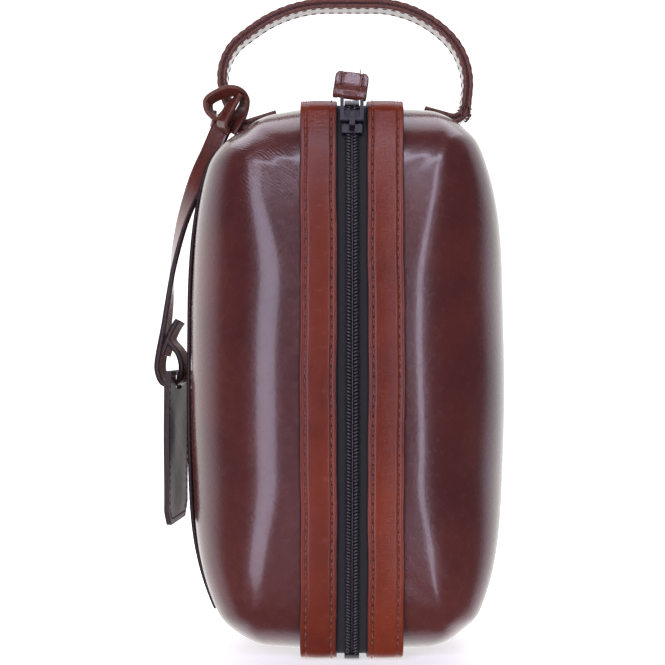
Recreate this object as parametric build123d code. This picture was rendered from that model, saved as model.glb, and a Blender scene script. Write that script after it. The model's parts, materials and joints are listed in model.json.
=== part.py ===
"""Leather shaving kit bag, standing on one short end with its zip facing -Y.

Millimetres, +Z up.  X runs across the zip, with the patch pocket on the -X side.
Y runs from the zip (-Y) to the base that the bag lies on (+Y).
The origin is under the middle of the bag, in the plane of the end that it stands on.
"""
from build123d import *
from math import asin, cos, degrees, radians, sin
import os

# ---- the bag's body -------------------------------------------------------------
bag_height = 250.0          # over the facings, from end to end
bag_depth = 150.0           # from the middle of the zip to the outside of the base
side_half_width = 73.5      # middle of the bag to the leather of either side
zip_face_radius = 340.0     # the face with the zip is an arc, seen from the side
zip_bend_radius = 6.0       # where that face turns over each end
side_radius = 650.0         # the sides are arcs, seen from the front
shoulder_radius = 15.0      # where a side turns over each end
base_corner_radius = 10.0   # where each end turns into the base
long_edge_radius = 22.0     # where the zip face turns into each side
corner_overshoot = 1.0      # that corner's sides stand this far outside the bag's own

# ---- leather, lining and board --------------------------------------------------
panel_thickness = 1.8
lining_gap = 0.2
lining_thickness = 0.8
mouth_half_width = 8.0      # the side panels stop here, under the facings
facing_thickness = 2.0
facing_width = 16.3
facing_end_past_bend = 15.0
end_tab_length = 40.0       # down the middle of each end
tape_past_facing = 12.0     # tape that runs on under each end tab
base_thickness = 2.4
base_turn_up = 22.0         # how far the base tray laps over the side panels
board_thickness = 1.6
pocket_thickness = 1.8
pocket_gap = 0.6
pocket_end_margin = 18.0    # from each end of the bag to the pocket
pocket_mouth_y = -24.0
pocket_base_gap = 2.0       # from the pocket to the base tray

# ---- zip ------------------------------------------------------------------------
tape_thickness = 0.6
tape_width = 19.0
layer_gap = 0.05            # between layers that lie on each other
coil_width = 2.85           # one half of the chain
coil_height = 2.3
centre_gap = 0.1            # from the middle of the chain to either half
coil_to_facing = 3.55       # tape that shows between the chain and a facing
stop_length = 2.4
stop_overhang = 0.35
slider_length = 11.0
slider_wall = 1.2
slider_clearance = 0.3
slider_back_length = 9.0
bridge_width = 2.4
bridge_length = 8.0
bridge_wall = 1.3
bridge_window_height = 2.4
ring_wire = 1.6
ring_width = 10.4
ring_length = 14.5
puller_width = 15.0
puller_length = 11.5
puller_thickness = 4.2
puller_lift = 3.0           # degrees that the puller stands off the zip
puller_corner = 3.0
travel_margin = 1.0         # degrees kept clear between the slider and each bend

# ---- handle ---------------------------------------------------------------------
handle_width = 15.0
handle_strap_thickness = 1.9
handle_core_thickness = 0.6
handle_rise = 44.3          # hinge line to the middle of the strap at the crown
handle_left_x = -60.0
handle_right_x = 54.5
handle_clearance = 0.6      # from the anchor tabs to the rounded end of a leg
left_leg_lean = 3.2         # foot of the left leg, inside the hinge point
left_shoulder_out = 5.0     # and its shoulder, outside it
right_shoulder_out = 3.0
left_shoulder_drop = 26.0   # crown to each corner of the arch
right_shoulder_drop = 25.0
crown_half_width = 30.0
corner_radii = [24.0, 60.0, 50.0, 33.0]
core_inset = 2.0            # core's edge inside the strap's
anchor_corner = 3.0
anchor_inset = 9.0          # from the foot of a leg, inwards to its anchor tab
anchor_length = 14.0
anchor_width = 17.0
anchor_thickness = 2.0

# ---- hanging tag ----------------------------------------------------------------
knot_height = 9.0
knot_wall = 2.0
knot_clearance = 0.5
knot_corner = 1.5
strap_width = 10.0
strap_thickness = 2.4
tag_x = -85.5
tag_loop_z = 131.0
tag_loop_radius = 9.0
tag_width = 50.0
tag_length = 72.0
tag_layer = 1.2
tag_corner = 7.0
tag_bar = 3.2
tag_slot_clearance = 0.4
strap_bends = [(-10.0, -24.6), (-17.5, -54.6), (-20.5, -84.6)]   # along the strap, from its pivot

# ---- places worked out from the sizes -------------------------------------------
tape_low = layer_gap
tape_high = tape_low + tape_thickness
facing_low = tape_high + layer_gap
skin = facing_low + facing_thickness          # everything outside the side panels
middle_z = bag_height / 2
shell_top = bag_height - skin
shell_base_y = bag_depth / 2 - skin
shell_face_y = -bag_depth / 2 + skin
arc_centre_y = shell_face_y + zip_face_radius
arc_to_bend = zip_face_radius - zip_bend_radius
bend_rise = shell_top - zip_bend_radius - middle_z
bend_angle = asin(bend_rise / arc_to_bend)
bend_y = arc_centre_y - arc_to_bend * cos(bend_angle)
facing_inner = centre_gap + coil_width + coil_to_facing
facing_outer = facing_inner + facing_width
facing_end_y = bend_y + facing_end_past_bend
coil_low = facing_low
coil_high = coil_low + coil_height
lining_out = panel_thickness + lining_gap
lining_in = lining_out + lining_thickness
hinge_line_z = bag_height + handle_clearance + handle_width / 2
REACH = 400.0                                 # longer than anything here


def corner_arc(centre, radius, start, end):
    """A quarter-like arc about centre, between two angles in degrees."""
    def at(angle):
        return (centre[0] + radius * cos(radians(angle)), centre[1] + radius * sin(radians(angle)))
    return ThreePointArc(at(start), at((start + end) / 2), at(end))


def side_outline(grow):
    """The bag seen from the side, as a face in YZ, grown by so many mm."""
    tilt = degrees(bend_angle)
    bend = zip_bend_radius + grow
    corner = base_corner_radius + grow
    corner_y = shell_base_y - base_corner_radius
    high, low = shell_top + grow, bag_height - shell_top - grow
    up, down = shell_top - zip_bend_radius, bag_height - shell_top + zip_bend_radius
    corner_up, corner_down = shell_top - base_corner_radius, bag_height - shell_top + base_corner_radius
    face = corner_arc((arc_centre_y, middle_z), zip_face_radius + grow, 180 - tilt, 180 + tilt)
    low_bend = corner_arc((bend_y, down), bend, 180 + tilt, 270)
    low_corner = corner_arc((corner_y, corner_down), corner, 270, 360)
    high_corner = corner_arc((corner_y, corner_up), corner, 0, 90)
    high_bend = corner_arc((bend_y, up), bend, 90, 180 - tilt)
    outline = [face, low_bend, Line((bend_y, low), (corner_y, low)), low_corner,
               Line(low_corner @ 1, high_corner @ 0), high_corner,
               Line((corner_y, high), (bend_y, high)), high_bend]
    return Plane.YZ * make_face(outline)


def front_outline(grow):
    """The bag seen from the front, as a face in XZ, grown by so many mm."""
    centre_x = side_half_width - side_radius
    between = side_radius - shoulder_radius
    rise = shell_top - shoulder_radius - middle_z
    tilt = asin(rise / between)
    shoulder_x = centre_x + between * cos(tilt)
    turn = degrees(tilt)
    high, low = middle_z + rise, middle_z - rise
    right = corner_arc((centre_x, middle_z), side_radius + grow, -turn, turn)
    top_right = corner_arc((shoulder_x, high), shoulder_radius + grow, turn, 90)
    low_right = corner_arc((shoulder_x, low), shoulder_radius + grow, -90, -turn)
    half = [low_right, right, top_right]
    other = [mirror(edge, Plane.YZ) for edge in half]
    top = Line(top_right @ 1, (-(top_right @ 1).X, (top_right @ 1).Y))
    bottom = Line(low_right @ 0, (-(low_right @ 0).X, (low_right @ 0).Y))
    return Plane.XZ * make_face(half + other + [top, bottom])


def side_slab(grow):
    return extrude(side_outline(grow), REACH / 2, both=True)


def plan_outline(grow):
    """The bag seen from above, as a face in XY: only its two rounded corners beside the zip matter."""
    half = side_half_width + corner_overshoot + grow
    radius = long_edge_radius + grow
    near_y = shell_face_y - corner_overshoot - grow
    left = corner_arc((radius - half, near_y + radius), radius, 180, 270)
    right = corner_arc((half - radius, near_y + radius), radius, 270, 360)
    across = Line(left @ 1, right @ 0)
    back = Polyline(right @ 1, (half, REACH / 2), (-half, REACH / 2), left @ 0)
    return make_face([left, across, right, back])


def body(grow):
    """The bag's closed outer form, grown by so many mm: its three outlines, carried through each other."""
    long_way = extrude(plan_outline(grow), 2 * REACH, both=True)
    return side_slab(grow) & extrude(front_outline(grow), REACH / 2, both=True) & long_way


def block(x, y, z):
    """A box from its low and high value on each axis."""
    size = [high - low for low, high in (x, y, z)]
    middle = [(high + low) / 2 for low, high in (x, y, z)]
    return Pos(*middle) * Box(*size)


def band(low, high):
    """A layer that follows the zip face and both ends, between two offsets."""
    return side_slab(high) - side_slab(low)


def x_span(sign, inner, outer):
    return tuple(sorted((sign * inner, sign * outer)))


everywhere = (-REACH, REACH)
parts = {}

# ---- side panels, lining, base --------------------------------------------------
mouth_end_y = facing_end_y + tape_past_facing / 2
mouth = block((-mouth_half_width, mouth_half_width), (-REACH, mouth_end_y), everywhere)
panel_end_y = shell_base_y - panel_thickness - layer_gap
shell = body(0) - body(-panel_thickness) - mouth
lining = body(-lining_out) - body(-lining_in) - mouth
lining_base_y = panel_end_y - lining_gap - lining_thickness - board_thickness

for side, sign in (("left", -1), ("right", 1)):
    half = block(x_span(sign, 0, REACH), (-REACH, panel_end_y), everywhere)
    parts[f"{side}_panel"] = shell & half
    lining_half = block(x_span(sign, 0, REACH), (-REACH, lining_base_y), everywhere)
    parts[f"lining_{side}"] = lining & lining_half

parts["lining_base"] = lining & block(everywhere, (lining_base_y, REACH), everywhere)
tray = body(skin) - body(skin - base_thickness)
parts["base_panel"] = tray & block(everywhere, (shell_base_y - base_turn_up, REACH), everywhere)
board_outline = RectangleRounded(2 * (side_half_width - shoulder_radius), bag_height - 4 * base_corner_radius,
                                 base_corner_radius)
board = extrude(Plane.XZ * board_outline, board_thickness)
parts["base_board"] = Pos(0, shell_base_y - layer_gap, middle_z) * board

# ---- patch pocket on the left ---------------------------------------------------
pocket_y = (pocket_mouth_y, shell_base_y - base_turn_up - pocket_base_gap)
pocket_z = (pocket_end_margin, bag_height - pocket_end_margin)
pocket_skin = body(pocket_gap + pocket_thickness) - body(pocket_gap)
parts["pocket_panel"] = pocket_skin & block((-REACH, 0), pocket_y, pocket_z)

# ---- facings, end tabs, zip -----------------------------------------------------
facing_layer = band(facing_low, skin)
tape_layer = band(tape_low, tape_high)
coil_layer = band(coil_low, coil_high)
stop_layer = band(coil_low, coil_high + stop_overhang)
coil_top_z = shell_top
coil_z = (bag_height - coil_top_z, coil_top_z)
tab_y = (facing_end_y + layer_gap, facing_end_y + end_tab_length)
near = (-REACH, bend_y)

for side, sign in (("left", -1), ("right", 1)):
    facing_x = x_span(sign, facing_inner, facing_outer)
    tape_x = x_span(sign, 3 * centre_gap, tape_width)
    coil_x = x_span(sign, centre_gap, centre_gap + coil_width)
    stop_x = x_span(sign, centre_gap, centre_gap + coil_width + stop_overhang)
    parts[f"facing_{side}"] = facing_layer & block(facing_x, (-REACH, facing_end_y), everywhere)
    parts[f"zip_tape_{side}"] = tape_layer & block(tape_x, (-REACH, facing_end_y + tape_past_facing), everywhere)
    parts[f"zip_coil_{side}"] = coil_layer & block(coil_x, near, coil_z)
    parts[f"zip_top_stop_{side}"] = stop_layer & block(
        stop_x, near, (coil_top_z + layer_gap, coil_top_z + stop_length))

bottom_stop_x = (-stop_x[1], stop_x[1])
parts["zip_bottom_stop"] = stop_layer & block(
    bottom_stop_x, near, (coil_z[0] - stop_length, coil_z[0] - layer_gap))
tab_x = (-facing_outer, facing_outer)
parts["zip_end_tab_top"] = facing_layer & block(tab_x, tab_y, (middle_z, REACH))
parts["zip_end_tab_bottom"] = facing_layer & block(tab_x, tab_y, (-REACH, middle_z))

# ---- slider and puller, made half-way up the zip and turned to the top ----------
face_y = shell_face_y
travel_axis = Axis((0, arc_centre_y, middle_z), (1, 0, 0))
slider_angle = degrees(bend_angle) - travel_margin
plate_low = coil_high + slider_clearance
plate_high = plate_low + slider_wall
flange_inner = centre_gap + coil_width + slider_clearance
flange_outer = flange_inner + slider_wall
shoulder_half = flange_outer + 0.7


def plan(width_top, width_low, length):
    """The slider's plan: shoulders at the top end, narrower at the tail, corners rounded."""
    half = length / 2
    outline = Polygon((-width_low, -half), (width_low, -half), (width_low, 0),
                      (width_top, half * 0.4), (width_top, half), (-width_top, half),
                      (-width_top, half * 0.4), (-width_low, 0), align=None)
    outline = fillet(outline.vertices(), 0.6)
    return extrude(Plane.XZ.offset(REACH / 2) * Pos(0, middle_z) * outline, -REACH / 2)


slider_plan = plan(shoulder_half, flange_outer, slider_length)
channel = block((-flange_inner, flange_inner), everywhere, everywhere)
slider = (band(plate_low, plate_high) & slider_plan) + (
    (band(tape_high + slider_clearance, plate_low) & slider_plan) - channel)
back_plate = band(-slider_clearance - slider_wall, -slider_clearance) & plan(
    flange_outer, flange_inner, slider_back_length)

window_y = face_y - plate_high - layer_gap
window = block(everywhere, (window_y - bridge_window_height, window_y + bridge_wall),
               (middle_z - bridge_length / 2 + bridge_wall, middle_z + bridge_length / 2 - bridge_wall))
bridge = block((-bridge_width / 2, bridge_width / 2),
               (window_y - bridge_window_height - bridge_wall, window_y),
               (middle_z - bridge_length / 2, middle_z + bridge_length / 2))
bridge = fillet(bridge.edges().filter_by(Axis.X).group_by(Axis.Y)[0], bridge_wall * 0.8) - window

pivot_y = window_y - bridge_window_height / 2
half_wire = ring_wire / 2
ring = block((-ring_width / 2, ring_width / 2), (pivot_y - half_wire, pivot_y + half_wire),
             (middle_z - half_wire, middle_z - half_wire + ring_length))
ring_hole = block((ring_wire - ring_width / 2, ring_width / 2 - ring_wire), everywhere,
                  (middle_z + half_wire, middle_z - half_wire + ring_length - ring_wire))
ring = fillet(ring.edges().filter_by(Axis.X), half_wire * 0.9) - ring_hole

crossbar_z = middle_z + ring_length - ring_wire - half_wire
puller_z = (crossbar_z - puller_thickness / 2, crossbar_z - puller_thickness / 2 + puller_length)
ring_room = block(
    (-ring_width / 2 - layer_gap, ring_width / 2 + layer_gap),
    (pivot_y - half_wire - layer_gap, pivot_y + half_wire + layer_gap),
    (middle_z - REACH, middle_z - half_wire + ring_length + layer_gap))
leather = block((-puller_width / 2, puller_width / 2),
                (pivot_y - puller_thickness / 2, pivot_y + puller_thickness / 2), puller_z)
leather = fillet(leather.edges().filter_by(Axis.Y).group_by(Axis.Z)[-1], puller_corner)
leather = fillet(leather.edges().filter_by(Axis.X).group_by(Axis.Z)[0], puller_thickness * 0.45)
leather = leather - ring_room + (leather & block(
    (-ring_width / 2 + ring_wire + layer_gap, ring_width / 2 - ring_wire - layer_gap), everywhere,
    (puller_z[0], crossbar_z - half_wire - layer_gap)))

pivot_axis = Axis((0, pivot_y, middle_z), (1, 0, 0))
for name, piece in (("slider_body", slider), ("slider_back_plate", back_plate),
                    ("slider_bridge", bridge)):
    parts[name] = piece.rotate(travel_axis, -slider_angle)
for name, piece in (("puller_ring", ring), ("puller_leather", leather)):
    parts[name] = piece.rotate(pivot_axis, puller_lift).rotate(travel_axis, -slider_angle)

# ---- handle ---------------------------------------------------------------------
crown_z = hinge_line_z + handle_rise
leg_foot = hinge_line_z - handle_width / 2 - 1
foot_left = Vector(handle_left_x + left_leg_lean, leg_foot)
shoulder_left = Vector(handle_left_x - left_shoulder_out, crown_z - left_shoulder_drop)
leg_way = (shoulder_left - foot_left).normalized()
handle_corners = [
    foot_left, shoulder_left, (-crown_half_width, crown_z), (crown_half_width, crown_z),
    (handle_right_x + right_shoulder_out, crown_z - right_shoulder_drop), (handle_right_x, leg_foot)]
handle_path = Plane.XZ * FilletPolyline(*handle_corners, radius=corner_radii)
strap_stack = 2 * handle_strap_thickness + handle_core_thickness + 2 * layer_gap
rounded_ends = block(everywhere, everywhere, (hinge_line_z, REACH)) + (
    Pos(0, 0, hinge_line_z) * Rot(0, 90, 0) * Cylinder(handle_width / 2, REACH))


def handle_layer(offset, thickness, width):
    """One layer of the strap, carried along the arch at an offset from its middle."""
    start = Plane(handle_path @ 0, x_dir=(0, 1, 0), z_dir=handle_path % 0)
    section = start * Pos(0, offset) * Rectangle(width, thickness)
    return sweep(section, handle_path, transition=Transition.TRANSFORMED) & rounded_ends


layer_offset = (handle_core_thickness + handle_strap_thickness) / 2 + layer_gap
lower = handle_layer(-layer_offset, handle_strap_thickness, handle_width)
upper = handle_layer(layer_offset, handle_strap_thickness, handle_width)
outer_first = lower.bounding_box().max.Z > upper.bounding_box().max.Z
parts["handle_outer_strap"], parts["handle_inner_strap"] = (lower, upper) if outer_first else (upper, lower)
parts["handle_core"] = handle_layer(0, handle_core_thickness, handle_width - 2 * core_inset)

anchor_z = (shell_top + layer_gap, shell_top + anchor_thickness)
for side, sign, foot_x in (("left", -1, handle_left_x), ("right", 1, handle_right_x)):
    anchor_x = x_span(sign, abs(foot_x) - anchor_inset - anchor_length, abs(foot_x) - anchor_inset)
    anchor = block(anchor_x, (-anchor_width / 2, anchor_width / 2), anchor_z)
    parts[f"handle_anchor_{side}"] = fillet(anchor.edges().filter_by(Axis.Z), anchor_corner)

# ---- the tag and the strap that it hangs on -------------------------------------
leg_lean = degrees(asin(leg_way.X))
knot_room = strap_stack + 2 * knot_clearance
knot_width = handle_width + 2 * knot_clearance
knot = Box(knot_room + 2 * knot_wall, knot_width + 2 * knot_wall, knot_height)
knot = fillet(knot.edges().filter_by(Axis.Z), knot_corner) - Box(knot_room, knot_width, 2 * knot_height)
knot_centre = foot_left + leg_way * ((hinge_line_z - leg_foot) / leg_way.Y)
parts["tag_strap_knot"] = Pos(knot_centre.X, 0, knot_centre.Y) * Rot(0, leg_lean, 0) * knot

strap_pivot = (knot_centre.X - knot_room / 2 - knot_wall - strap_thickness, knot_centre.Y - knot_height)
strap_top = (strap_pivot[0], strap_pivot[1] + 1.5)
loop_top = (tag_x, tag_loop_z + tag_loop_radius - strap_thickness / 2)
strap_bend_points = [(strap_pivot[0] + along, strap_pivot[1] + up) for along, up in strap_bends]
strap_path = Plane.XZ * Spline(strap_top, *strap_bend_points, loop_top, tangents=[(-0.2, -1), (0.1, -1)])
strap = sweep(Plane(strap_path @ 0, x_dir=(0, 1, 0), z_dir=strap_path % 0)
              * Rectangle(strap_width, strap_thickness), strap_path)
loop = Cylinder(tag_loop_radius, strap_width) - Cylinder(tag_loop_radius - strap_thickness, 2 * strap_width)
loop = Pos(tag_x, 0, tag_loop_z) * Rot(90, 0, 0) * loop
parts["tag_strap"] = strap + loop

slot_low = tag_loop_z - tag_loop_radius - tag_slot_clearance
slot_high = tag_loop_z - tag_loop_radius + strap_thickness + tag_slot_clearance
tag_top = slot_high + tag_bar
tag_shape = Pos(0, tag_top - tag_length / 2) * Rectangle(tag_width, tag_length)
tag_shape = chamfer(tag_shape.vertices(), tag_corner)
slot = Pos(0, (slot_low + slot_high) / 2) * Rectangle(
    strap_width + 2 * tag_slot_clearance, slot_high - slot_low)
tag_face = Plane.YZ * (tag_shape - slot)
parts["tag_front"] = Pos(tag_x - tag_layer - layer_gap / 2, 0, 0) * extrude(tag_face, tag_layer)
parts["tag_back"] = Pos(tag_x + layer_gap / 2, 0, 0) * extrude(tag_face, tag_layer)

os.makedirs("parts", exist_ok=True)
for name, shape in parts.items():
    export_step(shape, f"parts/{name}.step")

print("slider angle", round(slider_angle, 3), "arc centre y", round(arc_centre_y, 3))
print("puller pivot y, z before turning", round(pivot_y, 3), middle_z)
print("hinge line z", hinge_line_z, "strap pivot", strap_pivot, "tag top", tag_top)
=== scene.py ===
"""Looks of the leather shaving kit bag: shaped leather panels, stitched facings, a coil zip,
an arched handle and a hanging tag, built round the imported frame.

Shapes are worked out in millimetres and put into meshes in metres by one function.
"""

import json
from math import pi, radians

import bpy
import numpy as np
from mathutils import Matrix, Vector


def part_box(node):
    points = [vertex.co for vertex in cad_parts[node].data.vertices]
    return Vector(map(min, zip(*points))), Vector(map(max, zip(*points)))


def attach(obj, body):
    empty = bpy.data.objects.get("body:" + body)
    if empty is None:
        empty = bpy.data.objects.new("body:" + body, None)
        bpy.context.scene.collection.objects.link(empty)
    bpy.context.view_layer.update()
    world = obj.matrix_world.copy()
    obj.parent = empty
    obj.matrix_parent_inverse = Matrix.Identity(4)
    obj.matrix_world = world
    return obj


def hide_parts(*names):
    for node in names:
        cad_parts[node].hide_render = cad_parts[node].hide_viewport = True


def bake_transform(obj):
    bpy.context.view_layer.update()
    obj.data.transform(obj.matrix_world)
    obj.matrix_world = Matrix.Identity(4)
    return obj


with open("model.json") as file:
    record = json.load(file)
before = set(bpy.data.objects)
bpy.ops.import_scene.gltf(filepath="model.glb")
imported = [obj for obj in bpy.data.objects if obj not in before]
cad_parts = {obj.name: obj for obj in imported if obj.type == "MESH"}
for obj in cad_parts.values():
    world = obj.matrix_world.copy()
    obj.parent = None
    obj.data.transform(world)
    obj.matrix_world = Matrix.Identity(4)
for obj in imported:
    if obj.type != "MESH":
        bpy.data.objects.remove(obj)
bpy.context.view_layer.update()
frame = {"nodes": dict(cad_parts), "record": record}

MM = 0.001
RNG = np.random.default_rng(7)


# ---- sizes read from the frame, in millimetres ----------------------------------
def box_mm(node):
    """A node's low and high corner in millimetres."""
    low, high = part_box(node)
    return np.array(low) / MM, np.array(high) / MM


JOINTS = {j["name"]: j for j in frame["record"]["behaviour"]["joints"]}
ARC_Y, MID_Z = (v / MM for v in JOINTS["slider_travel"]["pos_m"][1:])
FACE_LOW, FACE_HIGH = box_mm("facing_right")
TOP_Z = box_mm("right_panel")[1][2]            # leather of the upper end
SKIN = FACE_HIGH[2] - TOP_Z                    # tape and facing over that leather
FACE_R = ARC_Y - FACE_LOW[1] - SKIN            # zip face's radius at the leather
BASE_Y = box_mm("base_panel")[1][1] - SKIN
FACING_T = 2.0                                 # facing leather
BEND_R = 6.0                                   # zip face into each end
BEND_RISE = TOP_Z - BEND_R - MID_Z
BEND_TILT = np.arcsin(BEND_RISE / (FACE_R - BEND_R))
BEND_Y = ARC_Y - (FACE_R - BEND_R) * np.cos(BEND_TILT)
FACE_RUN = FACE_R * BEND_TILT
BEND_RUN = BEND_R * (pi / 2 - BEND_TILT)
FACING_RUN = FACE_RUN + BEND_RUN + FACE_HIGH[1] - BEND_Y
STITCH_PITCH = 4.25
STITCH_LENGTH, STITCH_RADIUS = 3.3, 0.36
# radius of the dark dome painted as each needle hole's shade
HOLE_RADIUS = 0.62
COIL_PITCH = 1.5
HINGE_Z = JOINTS["handle_swing"]["pos_m"][2] / MM


# ---- materials ------------------------------------------------------------------
def linear(code):
    """An sRGB hex value as a linear colour with alpha."""
    parts = np.array([int(code[i:i + 2], 16) for i in (1, 3, 5)]) / 255
    low, high = parts / 12.92, ((parts + 0.055) / 1.055) ** 2.4
    return (*np.where(parts <= 0.04045, low, high), 1.0)


def add(tree, kind, settings=None, **links):
    """A node with its settings; links name an input and give a socket or a value."""
    node = tree.nodes.new(kind)
    for key, value in (settings or {}).items():
        setattr(node, key, value)
    for key, value in links.items():
        numbered = key[0] == "i" and key[1:].isdigit()
        socket = node.inputs[int(key[1:]) if numbered else key.replace("_", " ")]
        if isinstance(value, bpy.types.NodeSocket):
            tree.links.new(value, socket)
        else:
            socket.default_value = value
    return node


def ramp(tree, factor, stops):
    """A colour ramp over a factor, from a list of (place, hex colour or grey)."""
    node = add(tree, "ShaderNodeValToRGB", Fac=factor)
    elements = node.color_ramp.elements
    while len(elements) < len(stops):
        elements.new(0.5)
    for element, (place, tone) in zip(elements, stops):
        element.position = place
        element.color = linear(tone) if isinstance(tone, str) else (tone, tone, tone, 1)
    return node.outputs[0]


def start(name, **surface):
    """A new material with its Principled shader's own values set; returns tree, shader and place."""
    material = bpy.data.materials.new(name)
    material.use_nodes = True
    tree = material.node_tree
    shader = tree.nodes["Principled BSDF"]
    for key, value in surface.items():
        shader.inputs[key.replace("_", " ")].default_value = value
    place = add(tree, "ShaderNodeTexCoord").outputs["Object"]
    return material, tree, shader, place


def noise(tree, place, scale, detail=3.0, stretch=(1, 1, 1), **more):
    """Noise whose features are 1/scale metres across, stretched along an axis if asked."""
    mapped = add(tree, "ShaderNodeMapping", Vector=place, Scale=stretch).outputs[0]
    return add(tree, "ShaderNodeTexNoise", Vector=mapped, Scale=scale, Detail=detail, **more).outputs["Fac"]


def glazed_calf(name, dark, mid, bright, roughness=0.25, crease=0.22, coat=0.45, stretch=(0.55, 1, 1.25),
                wrinkled=False, level=0.5):
    """Vegetable-tanned calf, dyed through and glazed: a deep red-brown that varies in broad dye clouds
    and a fine wax mottle, under a hard wax coat that mirrors soft lights."""
    material, tree, shader, place = start(
        name, IOR=1.5, Specular_IOR_Level=level, Coat_Weight=coat, Coat_Roughness=0.12, Coat_IOR=1.5)
    cloud = noise(tree, place, 22.0, 4.0)                      # dye clouds, about 45 mm
    mottle = noise(tree, place, 260.0, 5.0)                    # wax mottle, about 4 mm
    mix = add(tree, "ShaderNodeMath", {"operation": "MULTIPLY_ADD"}, i0=mottle, i1=0.16, i2=cloud).outputs[0]
    tone = ramp(tree, mix, [(0.34, dark), (0.58, mid), (0.84, bright)])
    tree.links.new(tone, shader.inputs["Base Color"])
    gloss = add(tree, "ShaderNodeMapRange", Value=mottle, i3=roughness - 0.06, i4=roughness + 0.10).outputs[0]
    tree.links.new(gloss, shader.inputs["Roughness"])
    cells = add(tree, "ShaderNodeTexVoronoi", {"feature": "DISTANCE_TO_EDGE"}, Vector=place, Scale=620.0)
    grain = ramp(tree, cells.outputs["Distance"], [(0.0, 0.0), (0.12, 1.0)])     # 1.6 mm grain
    wrinkle = noise(tree, place, 480.0, 4.0, stretch=stretch, Distortion=0.6)
    low = add(tree, "ShaderNodeBump", Height=grain, Strength=crease * 0.55, Distance=0.0002).outputs[0]
    top = add(tree, "ShaderNodeBump", Height=wrinkle, Strength=crease, Distance=0.0006, Normal=low).outputs[0]
    if wrinkled:                       # fine slanting wrinkles, 1.6 mm apart, below the pinched corner
        lines = add(tree, "ShaderNodeTexWave", {"bands_direction": "DIAGONAL"}, Vector=place,
                    Scale=300.0, Distortion=9.0, Detail=4.0, Detail_Scale=0.6)
        away = add(tree, "ShaderNodeVectorMath", {"operation": "DISTANCE"}, i0=place, i1=(-0.042, -0.062, 0.221))
        reach = add(tree, "ShaderNodeMapRange", Value=away.outputs["Value"],
                    i1=0.004, i2=0.026, i3=0.22, i4=0.0).outputs[0]
        top = add(tree, "ShaderNodeBump", Height=lines.outputs["Fac"], Strength=reach,
                  Distance=0.0005, Normal=top).outputs[0]
    tree.links.new(top, shader.inputs["Normal"])
    return material


def painted_edge(name, code):
    """Cut leather edge under several coats of burnished edge paint: near black, softly shiny."""
    material, tree, shader, place = start(name, IOR=1.5, Specular_IOR_Level=0.3)
    speck = noise(tree, place, 900.0, 3.0)
    tree.links.new(ramp(tree, speck, [(0.3, code), (0.8, "#3a2624")]), shader.inputs["Base Color"])
    tree.links.new(ramp(tree, speck, [(0.2, 0.32), (0.9, 0.5)]), shader.inputs["Roughness"])
    bump = add(tree, "ShaderNodeBump", Height=speck, Strength=0.25, Distance=0.0003).outputs[0]
    tree.links.new(bump, shader.inputs["Normal"])
    return material


def waxed_thread(name, code, light):
    """Bonded and waxed polyester thread: two plies show as slanted bands 0.5 mm apart, with painted shade in the groove
    between them and a lighter crest on each.
    """
    material, tree, shader, place = start(name, IOR=1.48, Roughness=0.42)
    ply = add(tree, "ShaderNodeTexWave", {"bands_direction": "DIAGONAL"}, Vector=place, Scale=330.0, Distortion=1.0)
    # painted shade: the colour follows the bump's bands, darker in each groove and lighter on each ply's crest
    tree.links.new(ramp(tree, ply.outputs["Fac"], [(0.1, code), (0.9, light)]), shader.inputs["Base Color"])
    bump = add(tree, "ShaderNodeBump", Height=ply.outputs["Fac"], Strength=0.5, Distance=0.0002).outputs[0]
    tree.links.new(bump, shader.inputs["Normal"])
    return material


def woven(name, code, light, pitch_mm, roughness=0.8):
    """Plain-woven polyester: crossed ribs at the thread spacing, matt with a faint sheen, with painted shade in the
    hollows between the ribs.
    """
    material, tree, shader, place = start(name, Roughness=roughness, Sheen_Weight=0.15, Sheen_Roughness=0.5)
    ribs = []
    for axis in ("X", "Z"):
        wave = add(tree, "ShaderNodeTexWave", {"bands_direction": axis}, Vector=place,
                   Scale=pi / (10 * pitch_mm * MM), Distortion=0.4)
        ribs.append(wave.outputs["Fac"])
    cloth = add(tree, "ShaderNodeMath", {"operation": "MULTIPLY"}, i0=ribs[0], i1=ribs[1]).outputs[0]
    # painted shade: the colour follows the bump's heights, darker in the hollows and lighter where the ribs cross
    tree.links.new(ramp(tree, cloth, [(0.0, code), (0.8, light)]), shader.inputs["Base Color"])
    bump = add(tree, "ShaderNodeBump", Height=cloth, Strength=0.6, Distance=0.0002).outputs[0]
    tree.links.new(bump, shader.inputs["Normal"])
    return material


def moulded_nylon(name, code, light):
    """Drawn nylon monofilament, dyed black: a soft plastic shine with fine draw lines."""
    material, tree, shader, place = start(name, IOR=1.53, Roughness=0.34)
    lines = noise(tree, place, 1500.0, 2.0)
    tree.links.new(ramp(tree, lines, [(0.3, code), (0.75, light)]), shader.inputs["Base Color"])
    bump = add(tree, "ShaderNodeBump", Height=lines, Strength=0.2, Distance=0.0001).outputs[0]
    tree.links.new(bump, shader.inputs["Normal"])
    return material


def lacquered_zinc(name, code, light, metallic, roughness):
    """Die-cast zinc: either under black lacquer or plated, with a faint cast skin."""
    material, tree, shader, place = start(name, Metallic=metallic)
    skin = noise(tree, place, 1100.0, 4.0)
    tree.links.new(ramp(tree, skin, [(0.35, code), (0.85, light)]), shader.inputs["Base Color"])
    tree.links.new(ramp(tree, skin, [(0.2, roughness - 0.06), (0.9, roughness + 0.12)]), shader.inputs["Roughness"])
    bump = add(tree, "ShaderNodeBump", Height=skin, Strength=0.12, Distance=0.0002).outputs[0]
    tree.links.new(bump, shader.inputs["Normal"])
    return material


def grey_board(name):
    """Pressed grey board: recycled fibres in a matt buff sheet."""
    material, tree, shader, place = start(name, Roughness=0.9)
    fibre = noise(tree, place, 700.0, 5.0, stretch=(0.3, 1, 1))
    tree.links.new(ramp(tree, fibre, [(0.3, "#6f604b"), (0.8, "#9a876b")]), shader.inputs["Base Color"])
    return material


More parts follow.
